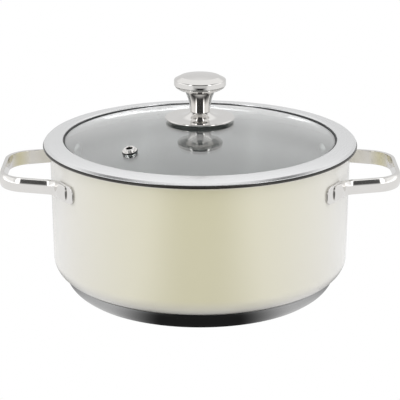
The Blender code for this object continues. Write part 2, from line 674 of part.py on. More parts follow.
head_top = steel_low - GAP
screw_end = insert_high - KNOB_SHEET
screw_section = [(0.0, screw_end), (SCREW_RADIUS, screw_end - SCREW_RADIUS / 2), (SCREW_RADIUS, head_top)]
screw_section += [(SCREW_HEAD_RADIUS, head_top), (SCREW_HEAD_RADIUS, head_top - SCREW_HEAD_HEIGHT / 3)]
screw_section += [(0.6 * SCREW_HEAD_RADIUS, head_top - 0.9 * SCREW_HEAD_HEIGHT)]
screw_section += [(0.0, head_top - SCREW_HEAD_HEIGHT)]
knob_screw = turned("knob_screw", screw_section, ROUND_SMALL, closed=False)
place(knob_screw, STEEL, 0.2, 1.0, lid)
slot_matrix = Matrix.Translation((0, 0, head_top - SCREW_HEAD_HEIGHT))
for angle in (0.0, math.pi / 2):
    bpy.ops.mesh.primitive_cube_add(size=1.0)
    slot = as_cutter(bpy.context.object)
    slot.name = "screw_slot_" + str(round(math.degrees(angle)))
    size = Matrix.Diagonal((SCREW_HEAD_RADIUS, SCREW_HEAD_RADIUS / 5, SCREW_HEAD_HEIGHT, 1.0))
    slot.matrix_world = slot_matrix @ Matrix.Rotation(angle, 4, "Z") @ size
    boolean(knob_screw, slot)
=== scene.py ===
# %% [markdown]
# # A cream casserole with a glass lid
# The pot is a deep-drawn steel cup with cream enamel outside, a steel capsule base, two loop
# handles and a domed glass lid in a wide steel ring. Most of its pieces are turned shapes, so
# most of this lesson is about drawing a half section and spinning it. The handles are bars
# bent along a path, and the finishes are all made of nodes.

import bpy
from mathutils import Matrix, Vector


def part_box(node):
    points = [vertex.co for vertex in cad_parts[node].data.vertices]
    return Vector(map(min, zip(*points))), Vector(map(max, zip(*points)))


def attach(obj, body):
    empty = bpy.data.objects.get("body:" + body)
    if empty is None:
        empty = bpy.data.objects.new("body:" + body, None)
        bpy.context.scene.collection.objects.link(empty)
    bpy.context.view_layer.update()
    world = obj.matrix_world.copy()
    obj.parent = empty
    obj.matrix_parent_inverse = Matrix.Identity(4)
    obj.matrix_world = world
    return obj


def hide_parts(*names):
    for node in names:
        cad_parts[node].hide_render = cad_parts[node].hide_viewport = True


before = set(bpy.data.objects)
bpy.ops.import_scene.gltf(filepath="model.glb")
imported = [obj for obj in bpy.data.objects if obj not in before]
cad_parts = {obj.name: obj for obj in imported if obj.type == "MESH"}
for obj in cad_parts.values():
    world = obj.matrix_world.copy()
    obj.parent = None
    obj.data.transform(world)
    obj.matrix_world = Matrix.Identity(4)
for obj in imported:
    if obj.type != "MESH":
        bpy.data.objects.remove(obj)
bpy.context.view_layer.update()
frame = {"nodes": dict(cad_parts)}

import math

import bpy
from mathutils import Matrix, Vector

nodes = frame["nodes"]

# %% [markdown]
# ## Tools for turned pieces
# A lathe operator needs only the outline of half the piece. Here one vertex is extruded from
# corner to corner, and the spin operator sweeps the line round the axis. Corners are given
# with a fillet radius each, because a real edge is never sharp and it is the fillets that
# catch the light.

# %% Points of an outline
TURN = 2 * math.pi
FINE = 192          # steps round a large piece
MEDIUM = 96         # steps round a small piece


def arc(centre, radius, start, end, steps):
    """Points on an arc, angles in degrees."""
    turns = [math.radians(start + (end - start) * i / steps) for i in range(steps + 1)]
    return [(centre[0] + radius * math.cos(a), centre[1] + radius * math.sin(a)) for a in turns]


def rounded(corners, steps=6, closed=False):
    """Replaces each corner (across, up, fillet) with an arc of its fillet radius."""
    points = []
    count = len(corners)
    for i, (across, up, fillet) in enumerate(corners):
        here = Vector((across, up))
        if fillet == 0 or (not closed and i in (0, count - 1)):
            points.append(here)
            continue
        to_last = (Vector(corners[i - 1][:2]) - here).normalized()
        to_next = (Vector(corners[(i + 1) % count][:2]) - here).normalized()
        half = to_last.angle(to_next) / 2
        centre = here + (to_last + to_next).normalized() * fillet / math.sin(half)
        first = here + to_last * fillet / math.tan(half) - centre
        last = here + to_next * fillet / math.tan(half) - centre
        sweep = first.angle_signed(last)
        for j in range(steps + 1):
            points.append(centre + Matrix.Rotation(-sweep * j / steps, 2) @ first)
    return [tuple(point) for point in points]


# %% Draw a section and spin it
def start_piece(name):
    """Adds a plane and merges it to the one vertex that a section is drawn from."""
    bpy.ops.object.select_all(action="DESELECT")
    bpy.ops.mesh.primitive_plane_add(size=0.002)
    piece = bpy.context.object
    piece.name = name
    bpy.ops.object.mode_set(mode="EDIT")
    bpy.ops.mesh.select_mode(type="VERT")
    bpy.ops.mesh.select_all(action="SELECT")
    bpy.ops.mesh.merge(type="CENTER")
    return piece


def spun(name, section, steps=FINE, closed=False):
    """Draws a half section by extrusion and spins it into a closed piece."""
    piece = start_piece(name)
    bpy.ops.transform.translate(value=(section[0][0], 0, section[0][1]))
    line = section + section[:1] if closed else section
    for here, there in zip(line, line[1:]):
        step = (there[0] - here[0], 0, there[1] - here[1])
        bpy.ops.mesh.extrude_region_move(TRANSFORM_OT_translate={"value": step})
    bpy.ops.mesh.select_all(action="SELECT")
    bpy.ops.mesh.remove_doubles(threshold=1e-6)
    bpy.ops.mesh.spin(steps=steps, angle=TURN, center=(0, 0, 0), axis=(0, 0, 1))
    bpy.ops.mesh.select_all(action="SELECT")
    bpy.ops.mesh.remove_doubles(threshold=1e-6)
    bpy.ops.mesh.normals_make_consistent(inside=False)
    bpy.ops.object.mode_set(mode="OBJECT")
    bpy.ops.object.shade_smooth_by_angle(angle=math.radians(32))
    print(name, len(piece.data.polygons), "faces")
    return piece


# %% Small helpers for every piece
def pick(piece):
    """Makes one piece the selected and active one."""
    bpy.ops.object.select_all(action="DESELECT")
    piece.select_set(True)
    bpy.context.view_layer.objects.active = piece


def choose(piece, kind, test):
    """Selects the vertices, edges or faces that pass a test, and leaves the piece in edit mode."""
    pick(piece)
    bpy.ops.object.mode_set(mode="EDIT")
    bpy.ops.mesh.select_mode(type=kind)
    bpy.ops.mesh.select_all(action="DESELECT")
    bpy.ops.object.mode_set(mode="OBJECT")
    kinds = {"VERT": piece.data.vertices, "EDGE": piece.data.edges, "FACE": piece.data.polygons}
    for item in kinds[kind]:
        if test(item):
            item.select = True
    bpy.ops.object.mode_set(mode="EDIT")


def end_points(piece, edge):
    """The places of an edge's two ends."""
    return [piece.data.vertices[v].co for v in edge.vertices]


def settle(piece, matrix=None):
    """Moves a piece by a matrix and keeps the place in its mesh, with its object at the origin."""
    if matrix is not None:
        piece.matrix_world = matrix @ piece.matrix_world
    pick(piece)
    bpy.ops.object.transform_apply(location=True, rotation=True, scale=True)


def apply_all(piece):
    """Applies every modifier of a piece."""
    pick(piece)
    for modifier in list(piece.modifiers):
        bpy.ops.object.modifier_apply(modifier=modifier.name)


def copy_of(piece, name, matrix):
    """A copy with its own mesh, moved by a matrix."""
    pick(piece)
    bpy.ops.object.duplicate(linked=False)
    twin = bpy.context.object
    twin.name = name
    settle(twin, matrix)
    return twin


def fit(piece, body, material, slot, *replaced):
    """Gives a piece its finish, its body and the frame nodes that it stands for."""
    if material is not None:
        piece.data.materials.clear()
        piece.data.materials.append(material)
    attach(piece, body)
    if replaced:
        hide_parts(*replaced)


# %% [markdown]
# ## Shader maths in Python
# A finish is a small node tree. Writing `a * 2 + b` is easier to read than placing Math
# nodes by hand, so one class wraps a socket and adds the Math node for each operator.

# %% A value that carries its own nodes
class Value:
    """A number, colour or vector in a node tree. Python's operators add Math nodes."""

    def __init__(self, nodes, socket):
        self.nodes = nodes
        self.socket = socket

    def maths(self, operation, *others, first=None):
        """Adds one Math node. A first number is put before this value, as in 1 - value."""
        numbers = [first, self] if first is not None else [self, *others]
        return self.nodes.add("ShaderNodeMath", {"operation": operation}, dict(enumerate(numbers)))

    def __add__(self, other):
        return self.maths("ADD", other)

    def __radd__(self, other):
        return self.maths("ADD", first=other)

    def __sub__(self, other):
        return self.maths("SUBTRACT", other)

    def __rsub__(self, other):
        return self.maths("SUBTRACT", first=other)

    def __mul__(self, other):
        return self.maths("MULTIPLY", other)

    def __rmul__(self, other):
        return self.maths("MULTIPLY", first=other)

    def __truediv__(self, other):
        return self.maths("DIVIDE", other)


# %% Nodes of one tree
class Nodes:
    """Adds nodes to a tree: settings first, then the values or links of the sockets."""

    def __init__(self, tree):
        self.tree = tree

    def add(self, kind, settings=None, sockets=None, output=0):
        """Adds one node of any kind, and gives back one of its outputs."""
        node = self.tree.nodes.new(kind)
        for name, value in (settings or {}).items():
            setattr(node, name, value)
        for name, value in (sockets or {}).items():
            if isinstance(value, Value):
                self.tree.links.new(value.socket, node.inputs[name])
            else:
                node.inputs[name].default_value = value
        return Value(self, node.outputs[output]) if node.outputs else None

    def place(self, output="Object"):
        """Coordinates as a vector and as three numbers."""
        where = self.add("ShaderNodeTexCoord", output=output)
        split = "ShaderNodeSeparateXYZ"
        return where, *[self.add(split, sockets={0: where}, output=i) for i in range(3)]

    def step(self, value, start, end, low=0.0, high=1.0):
        """Goes smoothly from low to high as a value goes from start to end."""
        settings = {"interpolation_type": "SMOOTHSTEP"}
        sockets = {"Value": value, 1: start, 2: end, 3: low, 4: high}
        return self.add("ShaderNodeMapRange", settings, sockets)

    def noise(self, where, scale, detail=2.0, rough=0.5):
        sockets = {"Vector": where, "Scale": scale, "Detail": detail, "Roughness": rough}
        return self.add("ShaderNodeTexNoise", sockets=sockets)


# %% A finish: one material with its Principled shader
class Finish(Nodes):
    """A material under construction. Uniform values go on the shader's own sockets."""

    def __init__(self, name, colour, **sockets):
        self.material = bpy.data.materials.new(name)
        self.material.use_nodes = True
        super().__init__(self.material.node_tree)
        self.shader = self.tree.nodes["Principled BSDF"]
        self.colour = colour
        self.shader.inputs["Base Color"].default_value = (*colour, 1)
        for socket, value in sockets.items():
            self.shader.inputs[socket.replace("_", " ")].default_value = value

    def feed(self, socket, value):
        self.tree.links.new(value.socket, self.shader.inputs[socket])

    def spread(self, value, low, high):
        """Maps a noise value, which stays near the middle, to a range."""
        return self.step(value, 0.3, 0.7, low, high)

    def tint(self, amount, other):
        """Mixes the finish's colour with another one."""
        sockets = {"Factor": amount, "A": (*self.colour, 1), "B": (*other, 1)}
        return self.add("ShaderNodeMix", {"data_type": "RGBA"}, sockets, output="Result")

    def bump(self, height, distance, strength=1.0):
        sockets = {"Height": height, "Distance": distance, "Strength": strength}
        self.feed("Normal", self.add("ShaderNodeBump", sockets=sockets))

    def around(self, lengthwise, fineness):
        """A vector for marks that run round the axis: slow round it, fine across it."""
        _, x, y, z = self.place()
        reach = (x * x + y * y).maths("SQRT") + 0.0001
        across = (reach + z * 0.77) * fineness
        vector = {0: x / reach * lengthwise, 1: y / reach * lengthwise, 2: across}
        return self.add("ShaderNodeCombineXYZ", sockets=vector)


# %% [markdown]
# ## Finishes
# Enamel is glass fused on steel: a warm cream colour under a clear, slightly wavy gloss. Seen
# at a slant it looks paler, because more of its gloss lies in the line of sight. A second
# glossy layer alone is too weak for that, so the colour itself is mixed with a pale one by
# how far the surface turns away: a painted sheen that stands in for that reflection.
#
# Steel shows mostly its surroundings, so what matters is which way it was polished. The ring,
# the inside and the base are turned, and their fine scratches run round the axis. Scratches
# spread a highlight across themselves, which the shader's Anisotropic value does without any
# geometry. Knob and handles are buffed to a mirror with only faint smears.

# %% Enamel
def enamel():
    """Cream enamel under a clear wavy coat, with a painted pale sheen where it is seen at a slant."""
    coat = {"Coat_Weight": 1.0, "Coat_Roughness": 0.1, "Coat_IOR": 1.9}
    made = Finish("cream_enamel", (0.80, 0.757, 0.495), Roughness=0.3, Specular_IOR_Level=0.2, **coat)
    where, *_ = made.place()
    # The pale mix below is a painted sheen: it stands in for the gloss reflected at a slant.
    slant = made.add("ShaderNodeLayerWeight", sockets={"Blend": 0.5}, output="Facing")
    painted_sheen = (slant - 0.047).maths("MAXIMUM", 0.0).maths("SQRT").maths("MINIMUM", 0.8)
    made.feed("Base Color", made.tint(painted_sheen + made.noise(where, 12.0) * 0.02, (0.80, 0.79, 0.80)))
    made.feed("Roughness", made.spread(made.noise(where, 60.0), 0.28, 0.32))
    made.bump(made.noise(where, 200.0, 1.0), 0.000002)
    return made.material


# %% Steel turned round the axis
def turned_steel(name, colour, smooth, rough, depth, fineness=4000.0, dark=0.97, stretch=0.0):
    """Satin steel with scratches round the axis, which stretch its highlights across them."""
    brushed = {"Anisotropic": stretch, "Anisotropic_Rotation": 0.25}
    made = Finish(name, colour, Metallic=1.0, Roughness=rough, **brushed)
    long_marks = made.noise(made.around(1.5, fineness), 1.0, 3.0, 0.6)
    broad_marks = made.noise(made.around(0.8, fineness / 12), 1.0, 2.0)
    darker = tuple(channel * dark for channel in colour)
    made.feed("Base Color", made.tint(made.spread(long_marks, 0.0, 1.0), darker))
    made.feed("Roughness", made.spread(long_marks * 0.8 + broad_marks * 0.2, smooth, rough))
    if depth:
        made.bump(long_marks, depth)
    return made.material


# %% Mirror steel
def mirror_steel(name, colour, smooth=0.03, rough=0.10):
    """Buffed steel with faint smears and hairline scratches."""
    made = Finish(name, colour, Metallic=1.0, Roughness=smooth)
    where, *_ = made.place()
    smears = made.noise(where, 45.0, 3.0)
    stretch = made.add("ShaderNodeMapping", sockets={"Vector": where, "Scale": (300, 300, 2600)})
    hairs = made.noise(stretch, 1.0, 2.0)
    worn = tuple(channel * 0.93 for channel in colour)
    made.feed("Base Color", made.tint(made.spread(smears, 0.0, 0.35), worn))
    made.feed("Roughness", made.spread(smears * 0.7 + hairs * 0.3, smooth, rough))
    made.bump(made.noise(where, 70.0, 1.0), 0.00001)
    return made.material


# %% Painted shade on the rolled edge
def painted_rim_shade():
    """A nearly black finish that paints the shade under the ring's edge, a little duller in places."""
    made = Finish("painted_rim_shade", (0.018, 0.015, 0.011), Roughness=0.3, Coat_Weight=0.3, Coat_Roughness=0.1)
    where, *_ = made.place()
    made.feed("Roughness", made.spread(made.noise(where, 90.0), 0.25, 0.4))
    return made.material


# %% Silicone, glass and the hidden metals
def silicone():
    """Dull dark rubber with a fine grain."""
    made = Finish("silicone", (0.028, 0.03, 0.03), Roughness=0.5)
    where, *_ = made.place()
    made.feed("Roughness", made.spread(made.noise(where, 300.0), 0.42, 0.62))
    made.bump(made.noise(where, 1800.0, 1.0), 0.00001)
    return made.material


def clear_glass():
    """Faintly green glass, with a coat that makes its reflections as strong as a thick lid's."""
    coat = {"Coat_Weight": 1.0, "Coat_Roughness": 0.0, "Coat_IOR": 1.82}
    body = {"Roughness": 0.0, "Transmission_Weight": 1.0, "IOR": 1.5}
    made = Finish("clear_glass", (0.93, 0.965, 0.955), **body, **coat)
    where, *_ = made.place()
    made.feed("Roughness", made.spread(made.noise(where, 25.0, 1.0), 0.0, 0.008))
    return made.material


# %% Make every finish once
CREAM = enamel()
RING_STEEL = turned_steel("ring_steel", (0.86, 0.865, 0.87), 0.24, 0.28, 0.000001)
INNER_STEEL = turned_steel("inner_steel", (0.55, 0.56, 0.56), 0.40, 0.44, 0.0, 1500.0, 0.99, 0.9)
BASE_STEEL = turned_steel("base_steel", (0.55, 0.55, 0.55), 0.14, 0.24, 0.000002)
MIRROR = mirror_steel("mirror_steel", (0.80, 0.785, 0.765))
RIVET_STEEL = mirror_steel("rivet_steel", (0.92, 0.93, 0.93), 0.34, 0.42)
RIM_PAINTED_SHADE = painted_rim_shade()
SILICONE = silicone()
GLASS_CLEAR = clear_glass()
ALUMINIUM = turned_steel("aluminium", (0.82, 0.82, 0.82), 0.35, 0.5, 0.000006)
BRASS = turned_steel("brass", (0.78, 0.62, 0.33), 0.25, 0.4, 0.000004)
print("finishes:", len(bpy.data.materials))

# %% [markdown]
# ## Pot shell
# The cup is drawn from one sheet: a flat floor, a generous curve at the foot, a wall that
# leans out a little, and a lip that turns out and rolls into a bead. The section goes out
# along the inside of the floor, up the wall, over the bead and down the outside. One spin makes
# the whole cup, and its faces are then picked by place for three finishes: bare steel inside,
# cream outside, and a near-black finish on the bead that paints the shade in the gap under the
# lid's ring.

# %% Section of the shell
shell_low, shell_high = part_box("pot_shell")
SHEET = 0.001
WALL = 0.120                    # outside of the wall above the foot curve
LEAN = 0.001                    # the wall is this much wider under the lip
FOOT_CURVE = 0.016
LIP_CURVE = 0.0035
BEAD = 0.0010
lip_radius = shell_high.x
pot_top = shell_high.z
floor_low = shell_low.z
bead_at = (lip_radius - BEAD, pot_top - BEAD)
lip_foot = bead_at[1] - SHEET / 2 - LIP_CURVE
wall_top = WALL + LEAN


def wall_at(height):
    """Outside radius of the wall between the foot curve and the lip."""
    low = floor_low + FOOT_CURVE
    return WALL + LEAN * (height - low) / (lip_foot - low)


foot_at = (WALL - FOOT_CURVE, floor_low + FOOT_CURVE)
lip_at = (wall_top + LIP_CURVE, lip_foot)
bead_open = math.degrees(math.asin(SHEET / 2 / BEAD))
section = [(0.0, floor_low + SHEET)] + arc(foot_at, FOOT_CURVE - SHEET, -90, 0, 12)
section += arc(lip_at, LIP_CURVE + SHEET, 180, 90, 8)
section += arc(bead_at, BEAD, 180 - bead_open, bead_open - 180, 14)
section += arc(lip_at, LIP_CURVE, 90, 180, 8)
section += arc(foot_at, FOOT_CURVE, 0, -90, 14) + [(0.0, floor_low)]
print("half section of the shell:", len(section), "points")

# %% Spin it and enamel its outside
shell = spun("shell", section)
fit(shell, "pot", INNER_STEEL, "cream_enamel", "pot_shell")
shell.data.materials.append(CREAM)
shell.data.materials.append(RIM_PAINTED_SHADE)


def on_outside(face):
    """True on the outer skin of the floor, the foot curve, the wall and the lip's underside."""
    reach = math.hypot(face.center.x, face.center.y)
    if face.center.z > foot_at[1]:
        return reach > wall_at(face.center.z) - SHEET / 2 and face.center.z < bead_at[1] - BEAD / 2
    return math.hypot(max(reach - foot_at[0], 0.0), face.center.z - foot_at[1]) > FOOT_CURVE - SHEET / 2


def on_bead_shade(face):
    """True on the bead, where the shade under the ring is painted, down to where the lip's underside is
    out of sight.
    """
    reach = math.hypot(face.center.x, face.center.y)
    return reach > lip_radius - 2 * BEAD and face.center.z > bead_at[1] - 2 * BEAD


# Finish 2 is the painted shade on the bead.
for finish, test in ((1, on_outside), (2, on_bead_shade)):
    choose(shell, "FACE", test)
    shell.active_material_index = finish
    bpy.ops.object.material_slot_assign()
    bpy.ops.object.mode_set(mode="OBJECT")
print("enamelled faces:", sum(face.material_index == 1 for face in shell.data.polygons))

# %% [markdown]
# ## Capsule base
# The base is an aluminium disc pressed into a steel cap. Only the cap shows, as a bright band
# whose side swells slightly on its way to the table, so its side is one long arc.

# %% Base cap
cap_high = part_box("base_cap")[1]
CAP_SHEET = 0.0008
CAP_TAPER = 0.0113
CAP_BULGE = 0.0023
CAP_EDGE = 0.0006
cap_edge = Vector((cap_high.x - CAP_TAPER, 0.0))
cap_run = Vector((CAP_TAPER, cap_high.z))
cap_round = (cap_run.length ** 2 / 4 + CAP_BULGE ** 2) / (2 * CAP_BULGE)
cap_normal = Vector((-cap_run.y, cap_run.x)).normalized()
cap_centre = cap_edge + cap_run / 2 + cap_normal * (cap_round - CAP_BULGE)


def cap_side(inset, low, high, steps):
    """Points up the side of the cap, between two heights."""
    heights = [low + (high - low) * i / steps for i in range(steps + 1)]
    reach = cap_round - inset
    return [(cap_centre.x + math.sqrt(reach ** 2 - (z - cap_centre.y) ** 2), z) for z in heights]


outer_side = cap_side(0.0, CAP_EDGE, cap_high.z, 14)
section = [(0.0, CAP_SHEET)] + cap_side(CAP_SHEET, CAP_SHEET, cap_high.z - CAP_SHEET / 2, 10)
section += outer_side[::-1] + [(outer_side[0][0] - CAP_EDGE, 0.0), (0.0, 0.0)]
cap = spun("cap", section)
fit(cap, "pot", BASE_STEEL, "base_steel", "base_cap")

# %% [markdown]
# ## Handles
# Each handle is a flat bar bent into a loop, with ends that turn out to lie on the wall. It
# could be modelled in its bent shape, but its outline is much easier to change on a straight
# bar: a box is cut into sections, each section is resized, and subdivision smooths them. The
# ends are hammered flat and the outer face swells a little. A Curve modifier then bends the bar
# along a path of straight runs and arcs that meet without a kink.

# %% Sizes of the handle
handle_low, handle_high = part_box("right_handle")
handle_mid = (handle_low.z + handle_high.z) / 2
BAR = 0.005                     # thickness
BAR_END = 0.0036
BAR_TALL = 0.0115
FRONT_HALF = 0.0175
LOOP_CURVE = 0.024
LOOP_TURN = math.radians(75)
FOOT_BEND = 0.012
PAD = 0.0014
TOUCH = 0.0003
pad_inner = wall_at(handle_high.z) + TOUCH
pad_outer = pad_inner + PAD
bar_foot = pad_outer + BAR_END / 2 - TOUCH
RIVET_SPREAD = 0.0618
rivet_turn = math.asin(RIVET_SPREAD / pad_outer)
PAST_RIVET = 0.0036             # from the rivet to the end of the bar
bar_end_turn = rivet_turn + PAST_RIVET / pad_outer
print("rivets", round(math.degrees(2 * rivet_turn)), "degrees apart on one handle")


# %% The path of the bar
def half_path():
    """Middle line of half the bar in plan, from the middle of the loop to its end."""
    front = handle_high.x - BAR / 2
    points = [Vector((front, FRONT_HALF * i / 4)) for i in range(5)]
    centre = Vector((front - LOOP_CURVE, FRONT_HALF))
    for i in range(1, 17):
        a = LOOP_TURN * i / 16
        points.append(centre + LOOP_CURVE * Vector((math.cos(a), math.sin(a))))
    heading = LOOP_TURN + math.pi / 2
    run = Vector((math.cos(heading), math.sin(heading)))
    side = Vector((math.cos(LOOP_TURN), math.sin(LOOP_TURN)))
    begin = points[-1] + FOOT_BEND * side
    reach = bar_foot + FOOT_BEND
    along = begin.dot(run)
    length = -along - math.sqrt(along ** 2 - (begin.length ** 2 - reach ** 2))
    arm = points[-1]
    points += [arm + run * length * i / 6 for i in range(1, 6)]
    bend = begin + run * length
    meet = math.atan2(bend.y, bend.x)
    sweep = heading - (meet + math.pi / 2)
    for i in range(13):
        a = LOOP_TURN + math.pi - sweep * i / 12
        points.append(bend + FOOT_BEND * Vector((math.cos(a), math.sin(a))))
    for i in range(1, 9):
        a = meet + (bar_end_turn - meet) * i / 8
        points.append(bar_foot * Vector((math.cos(a), math.sin(a))))
    return points


half = half_path()
path_points = [Vector((p.x, -p.y)) for p in reversed(half[1:])] + half
half_length = sum((b - a).length for a, b in zip(half, half[1:]))
print("bar length", round(2 * half_length * 1000), "mm")


# %% A curve to bend along, and the bend itself
def flat_path(name, points):
    """A curve through points in plan, for the Curve modifier."""
    curve = bpy.data.curves.new(name, "CURVE")
    curve.dimensions = "2D"
    spline = curve.splines.new("POLY")
    spline.points.add(len(points) - 1)
    for knot, point in zip(spline.points, points):
        knot.co = (point.x, point.y, 0, 1)
    guide = bpy.data.objects.new(name, curve)
    bpy.context.scene.collection.objects.link(guide)
    return guide


def bend_along(piece, guide):
    """Bends a straight piece that lies along X to a path, and applies it."""
    bend = piece.modifiers.new("bend", "CURVE")
    bend.object = guide
    bend.deform_axis = "POS_X"
    apply_all(piece)


# %% The straight bar
BAR_CROWN = 0.0020              # the outer face swells this much between its edges
BOSS_TALL = 1.08                # the end is a little taller than the bar
BOSS = 0.38                     # and flattened to this share of its thickness


def widths():
    """Sections of half the bar: distance from the middle, share of thickness, share of height."""
    turn_start = FRONT_HALF
    turn_end = FRONT_HALF + LOOP_CURVE * LOOP_TURN
    thin = BAR_END / BAR
    steps = [(turn_start * i / 2, 1.0, 1.0) for i in range(1, 3)]
    steps += [(turn_start + (turn_end - turn_start) * i / 6, 1.0, 1.0) for i in range(1, 7)]
    steps += [(half_length - 0.020, 0.97, 1.0), (half_length - 0.014, 0.88, 1.01)]
    steps += [(half_length - 0.010, thin, 1.04), (half_length - 0.006, BOSS + 0.08, BOSS_TALL)]
    steps += [(half_length - 0.003, BOSS, BOSS_TALL), (half_length - 0.0008, BOSS, 0.92)]
    steps += [(half_length, BOSS * 0.95, 0.68)]
    return steps


def pivot(thick):
    """The place across the bar to thin a section about, so that a thin one still lies on its pad."""
    return (BAR_END - BAR * thick) / 2 / (1 - thick) if thick < BAR_END / BAR else 0.0


def straight_bar():
    """The bar as a cube, cut into sections that are then resized, and smoothed."""
    bpy.ops.object.select_all(action="DESELECT")
    bpy.ops.mesh.primitive_cube_add(size=1, scale=(2 * half_length, BAR, BAR_TALL))
    bar = bpy.context.object
    bar.name = "bar"
    settle(bar)
    bpy.ops.object.mode_set(mode="EDIT")
    for side in (-1, 1):
        for x, _, _ in widths()[:-1]:
            bpy.ops.mesh.select_all(action="SELECT")
            bpy.ops.mesh.bisect(plane_co=(side * x, 0, 0), plane_no=(1, 0, 0))
    bpy.ops.mesh.select_all(action="SELECT")
    bpy.ops.mesh.bisect(plane_co=(0, 0, 0), plane_no=(0, 0, 1))
    bpy.ops.object.mode_set(mode="OBJECT")
    choose(bar, "VERT", lambda v: v.co.y < 0 and abs(v.co.z) > BAR_TALL / 5)
    bpy.ops.transform.translate(value=(0, BAR_CROWN, 0))
    bpy.ops.object.mode_set(mode="OBJECT")
    for side in (-1, 1):
        for x, thick, tall in widths():
            choose(bar, "VERT", lambda v: abs(v.co.x - side * x) < 0.0001)
            bpy.ops.transform.resize(value=(1, thick, tall), center_override=(side * x, pivot(thick), 0))
            bpy.ops.object.mode_set(mode="OBJECT")
    return bar


bar = straight_bar()
print("bar cage", len(bar.data.polygons), "faces")


# %% Keep the long edges sharper
def long_edge(edge, outer):
    """True on an edge along the bar's upper or lower corner, on its outer or inner side."""
    ends = end_points(bar, edge)
    middle = sum(co.x for co in ends) / 2
    shares = [thick for x, thick, _ in widths() if x >= abs(middle)]
    split = pivot(shares[0]) + 0.0003
    along = abs(ends[0].x - ends[1].x) > 0.0005
    return along and all(abs(co.z) > BAR_TALL / 5 and (co.y < split) == outer for co in ends)


for outer, amount in ((True, 0.55), (False, 0.8)):
    choose(bar, "EDGE", lambda edge: long_edge(edge, outer))
    bpy.ops.transform.edge_crease(value=amount)
    bpy.ops.object.mode_set(mode="OBJECT")
creases = bar.data.attributes["crease_edge"].data
print("creased edges:", sum(item.value > 0 for item in creases))

# %% Smooth the bar and bend it
smooth = bar.modifiers.new("smooth", "SUBSURF")
smooth.levels = 4
smooth.render_levels = 4
apply_all(bar)
settle(bar, Matrix.Translation((half_length, 0, 0)))
loop_guide = flat_path("loop_guide", path_points)
bend_along(bar, loop_guide)
settle(bar, Matrix.Translation((0, 0, handle_mid)))
bpy.ops.object.shade_smooth()
bpy.data.objects.remove(loop_guide)
print("bar", len(bar.data.polygons), "faces, box", [round(v * 1000, 1) for v in bar.dimensions])

# %% [markdown]
# ## Foot pads
# Under each end of the bar lies a plate with round corners, curved to the wall. It starts as
# a flat cube: its upright corners are bevelled wide, its outer edges are bevelled fine, and
# the same Curve modifier wraps it round the wall. One pad is modelled and the other three are
# copied from it.

# %% One pad
PAD_LENGTH = 0.0265
PAD_PAST = 0.0127
PAD_TALL = handle_high.z - handle_low.z
PAD_CORNER = 0.0052
PAD_SOFT = 0.0008


def flat_pad():
    """The pad before it is curved, with cuts across it so that it can bend."""
    bpy.ops.object.select_all(action="DESELECT")
    bpy.ops.mesh.primitive_cube_add(size=1, scale=(PAD_LENGTH, PAD, PAD_TALL))
    pad = bpy.context.object
    pad.name = "pad"
    settle(pad)
    choose(pad, "EDGE", lambda edge: len({round(co.y, 5) for co in end_points(pad, edge)}) == 2)
    bpy.ops.mesh.bevel(offset=PAD_CORNER, segments=8)
    bpy.ops.object.mode_set(mode="OBJECT")
    choose(pad, "EDGE", lambda edge: all(co.y < 0 for co in end_points(pad, edge)))
    bpy.ops.mesh.bevel(offset=PAD_SOFT, segments=4)
    for i in range(1, 16):
        bpy.ops.mesh.select_all(action="SELECT")
        bpy.ops.mesh.bisect(plane_co=(PAD_LENGTH * (i / 16 - 0.5), 0, 0), plane_no=(1, 0, 0))
    bpy.ops.object.mode_set(mode="OBJECT")
    return pad


pad = flat_pad()
pad_mid = pad_inner + PAD / 2
pad_end_turn = rivet_turn + PAD_PAST / pad_outer
pad_start_turn = pad_end_turn - PAD_LENGTH / pad_mid
WRAP_STEPS = 48
wrap_turn = (pad_end_turn - pad_start_turn) / WRAP_STEPS
turns = [pad_start_turn + wrap_turn * i for i in range(WRAP_STEPS + 1)]
wall_guide = flat_path("wall_guide", [pad_mid * Vector((math.cos(a), math.sin(a))) for a in turns])
settle(pad, Matrix.Translation((PAD_LENGTH / 2, 0, 0)))
bend_along(pad, wall_guide)
settle(pad, Matrix.Translation((0, 0, handle_mid)))
bpy.ops.object.shade_smooth_by_angle(angle=math.radians(32))
bpy.data.objects.remove(wall_guide)
print("pad", len(pad.data.polygons), "faces")

# %% The four feet and the two handles
half_turn = Matrix.Rotation(math.pi, 4, "Z")
flip = Matrix.Diagonal((1, -1, 1, 1))


def mirrored(piece, name):
    """A copy on the other side of the handle's middle plane, with its faces turned out again."""
    twin = copy_of(piece, name, flip)
    bpy.ops.object.mode_set(mode="EDIT")
    bpy.ops.mesh.select_all(action="SELECT")
    bpy.ops.mesh.normals_make_consistent(inside=False)
    bpy.ops.object.mode_set(mode="OBJECT")
    return twin


pad_front = mirrored(pad, "right_pad_front")
pad.name = "right_pad_back"
bar.name = "right_loop"
for piece, name in ((bar, "left_loop"), (pad, "left_pad_front"), (pad_front, "left_pad_back")):
    twin = copy_of(piece, name, half_turn)
    fit(twin, "pot", MIRROR, "polished_steel", "left_handle")
for piece in (bar, pad, pad_front):
    fit(piece, "pot", MIRROR, "polished_steel", "right_handle")
print("handle pieces:", 2 * len((bar, pad, pad_front)))

# %% [markdown]
# ## Rivets
# A rivet goes through the wall into each foot, with its low round head inside the pot. The head
# is part of a sphere, so its section is one arc. The rivet is spun upright, then each copy is
# turned to point out through the wall at its own bearing.

